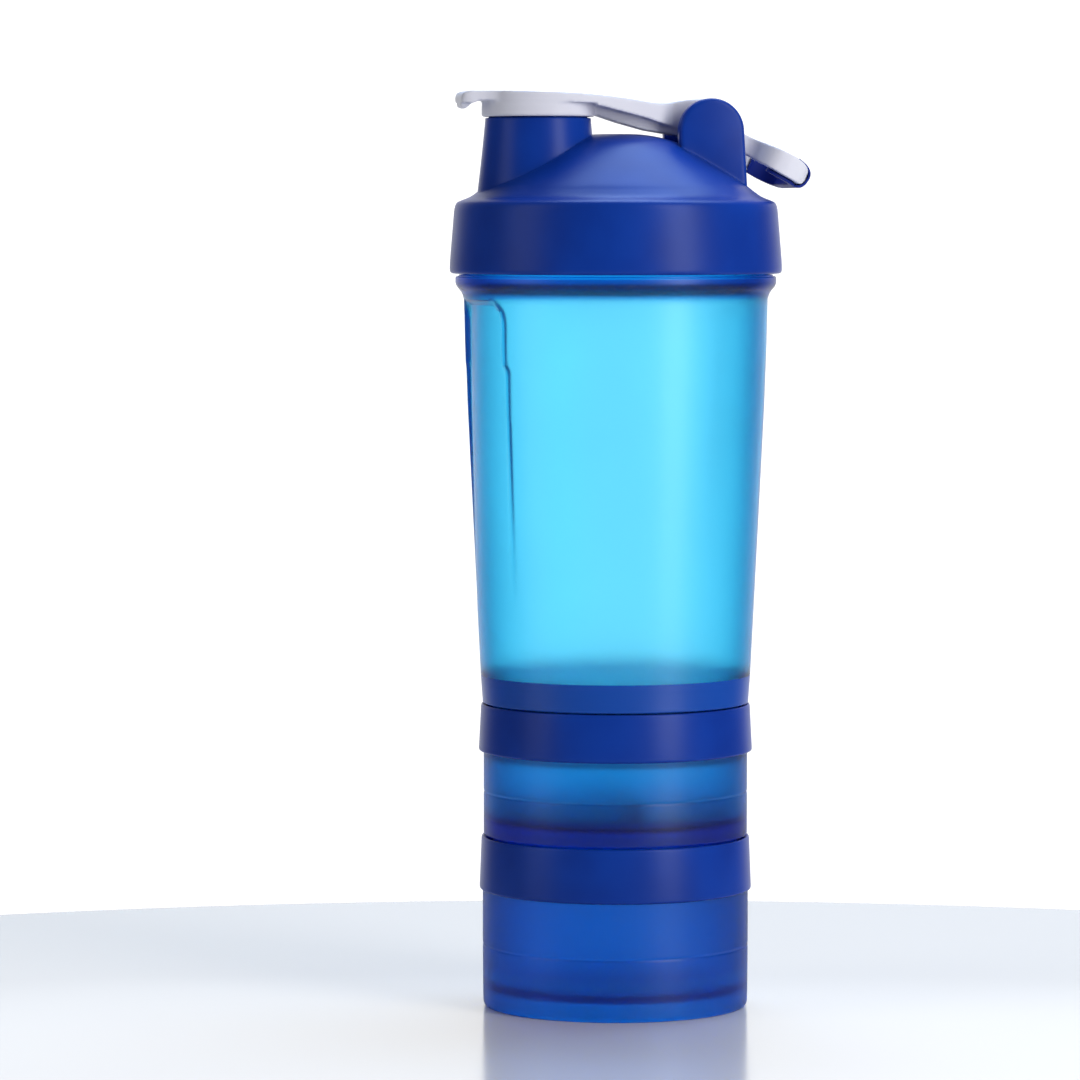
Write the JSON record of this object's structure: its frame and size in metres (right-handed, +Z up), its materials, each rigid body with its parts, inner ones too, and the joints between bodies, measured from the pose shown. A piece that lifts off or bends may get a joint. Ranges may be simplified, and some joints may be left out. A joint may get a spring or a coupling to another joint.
{
  "type": "protein shaker bottle",
  "caption": "Screw-capped shaker bottle with flip spout, carrying loop, strainer and stacked twist-on storage cups.",
  "frame": {"origin": "at floor level, in the middle of the footprint's bounding box; the bottle's turning axis stands at x = -3.5 mm", "axes": "+Z up along the bottle's axis; -X towards the drinking spout, +X towards the hinge and carrying loop; +Y completes the right-handed frame"},
  "size_m": [0.101, 0.094, 0.2589],
  "materials": {
    "cap_plastic": "satin moulded polypropylene, royal blue",
    "cup_plastic": "translucent royal blue, satin",
    "bottle_plastic": "frosted translucent sky blue",
    "white_plastic": "satin white",
    "grip_rubber": "soft matte blue",
    "silicone": "milky silicone"
  },
  "bodies": {
    "lower_cup": {"lower_cup": "cup_plastic"},
    "lower_seal": {"lower_seal_ring": "silicone"},
    "upper_cup": {"upper_cup": "cup_plastic"},
    "tray": {"pill_tray": "cup_plastic"},
    "upper_seal": {"upper_seal_ring": "silicone"},
    "bottle": {"bottle": "bottle_plastic"},
    "gasket": {"cap_gasket": "silicone"},
    "cap": {"cap": "cap_plastic", "mixing_grid": "white_plastic", "hinge_pin": "white_plastic"},
    "flip_arm": {"flip_arm": "white_plastic", "spout_stopper": "silicone"},
    "carry_loop": {"carry_loop": "white_plastic", "carry_loop_grip": "grip_rubber"}
  },
  "joints": [
    {"name": "upper_cup_rise", "type": "slide", "parent": "lower_cup", "child": "lower_seal", "axis": [0, 0, 1], "range_m": [0, 0.018]},
    {"name": "upper_cup_turn", "type": "hinge", "parent": "lower_seal", "child": "upper_cup", "pos_m": [-0.0035, 0, 0.05], "axis": [0, 0, 1], "range_deg": [0, 540]},
    {"name": "tray_lift", "type": "slide", "parent": "upper_cup", "child": "tray", "axis": [0, 0, 1], "range_m": [0, 0.012]},
    {"name": "bottle_rise", "type": "slide", "parent": "upper_cup", "child": "upper_seal", "axis": [0, 0, 1], "range_m": [0, 0.018]},
    {"name": "bottle_turn", "type": "hinge", "parent": "upper_seal", "child": "bottle", "pos_m": [-0.0035, 0, 0.09], "axis": [0, 0, 1], "range_deg": [0, 540]},
    {"name": "cap_rise", "type": "slide", "parent": "bottle", "child": "gasket", "axis": [0, 0, 1], "range_m": [0, 0.024]},
    {"name": "cap_turn", "type": "hinge", "parent": "gasket", "child": "cap", "pos_m": [-0.0035, 0, 0.22], "axis": [0, 0, 1], "range_deg": [0, 720]},
    {"name": "flip_arm_pivot", "type": "hinge", "parent": "cap", "child": "flip_arm", "pos_m": [0.0216, 0, 0.2476], "axis": [0, 1, 0], "range_deg": [0, 95]},
    {"name": "loop_pivot", "type": "hinge", "parent": "cap", "child": "carry_loop", "pos_m": [0.0216, 0, 0.2476], "axis": [0, -1, 0], "range_deg": [0, 78]}
  ],
  "couplings": [
    {"joint": "upper_cup_rise", "follows": "upper_cup_turn", "m_per_rad": 0.0019099},
    {"joint": "bottle_rise", "follows": "bottle_turn", "m_per_rad": 0.0019099},
    {"joint": "cap_rise", "follows": "cap_turn", "m_per_rad": 0.0019099}
  ]
}
